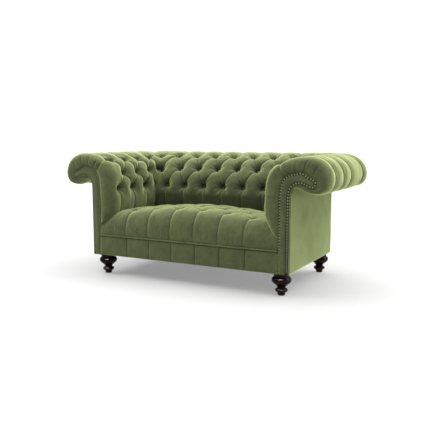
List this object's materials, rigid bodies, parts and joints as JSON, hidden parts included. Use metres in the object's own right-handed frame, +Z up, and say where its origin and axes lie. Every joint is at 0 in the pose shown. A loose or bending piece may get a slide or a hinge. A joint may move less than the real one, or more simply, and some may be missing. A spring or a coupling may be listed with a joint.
{
  "type": "chesterfield sofa",
  "caption": "Low-backed chesterfield sofa with deep-buttoned rolled arms and back, a fixed tufted seat, crook-shaped arm facings and turned feet.",
  "frame": {"origin": "on the floor under the middle of the sofa's overall box", "axes": "+X to the right seen from the front, -Y out of the front, +Z up"},
  "size_m": [1.7588, 0.9297, 0.7601],
  "materials": {
    "velvet": "short-pile olive green velvet with a pale sheen",
    "velvet_trim": "the same velvet, pulled tight over facings, piping, buttons and covered nails",
    "hardwood": "planed beech, unfinished",
    "boardwood": "birch plywood, unfinished",
    "polished_foot": "very dark red-brown stain under a gloss polish",
    "zinc_steel": "zinc-plated steel",
    "spring_steel": "dark tempered wire",
    "hessian_cloth": "coarse jute hessian",
    "black_cloth": "thin black non-woven cloth"
  },
  "bodies": {
    "root": {"front_rail": "hardwood", "rear_rail": "hardwood", "cross_rail": "hardwood", "back_foot_rail": "hardwood", "right_side_rail": "hardwood", "left_side_rail": "hardwood", "right_front_post": "hardwood", "left_front_post": "hardwood", "right_rear_post": "hardwood", "left_rear_post": "hardwood", "right_front_corner_block": "hardwood", "left_front_corner_block": "hardwood", "right_rear_corner_block": "hardwood", "left_rear_corner_block": "hardwood", "right_arm_tack_rail": "hardwood", "left_arm_tack_rail": "hardwood", "back_tack_rail": "hardwood", "back_top_rail": "hardwood", "back_rib_centre": "boardwood", "right_back_rib": "boardwood", "left_back_rib": "boardwood", "back_board": "boardwood", "right_arm_board": "boardwood", "left_arm_board": "boardwood", "right_scroll_board": "boardwood", "left_scroll_board": "boardwood", "right_arm_roll_board": "boardwood", "left_arm_roll_board": "boardwood", "back_roll_board": "boardwood", "seat_spring_1": "spring_steel", "seat_spring_2": "spring_steel", "seat_spring_3": "spring_steel", "seat_spring_4": "spring_steel", "seat_spring_5": "spring_steel", "seat_spring_6": "spring_steel", "spring_hessian": "hessian_cloth", "dust_cover": "black_cloth", "tufted_seat": "velvet", "seat_front_border": "velvet", "front_piping": "velvet_trim", "inside_back": "velvet", "right_inside_arm": "velvet", "left_inside_arm": "velvet", "right_arm_facing": "velvet_trim", "left_arm_facing": "velvet_trim", "right_outside_arm": "velvet", "left_outside_arm": "velvet", "outside_back": "velvet", "right_front_foot": "polished_foot", "left_front_foot": "polished_foot", "right_rear_foot": "polished_foot", "left_rear_foot": "polished_foot", "right_front_foot_bolt": "zinc_steel", "left_front_foot_bolt": "zinc_steel", "right_rear_foot_bolt": "zinc_steel", "left_rear_foot_bolt": "zinc_steel"}
  },
  "joints": []
}
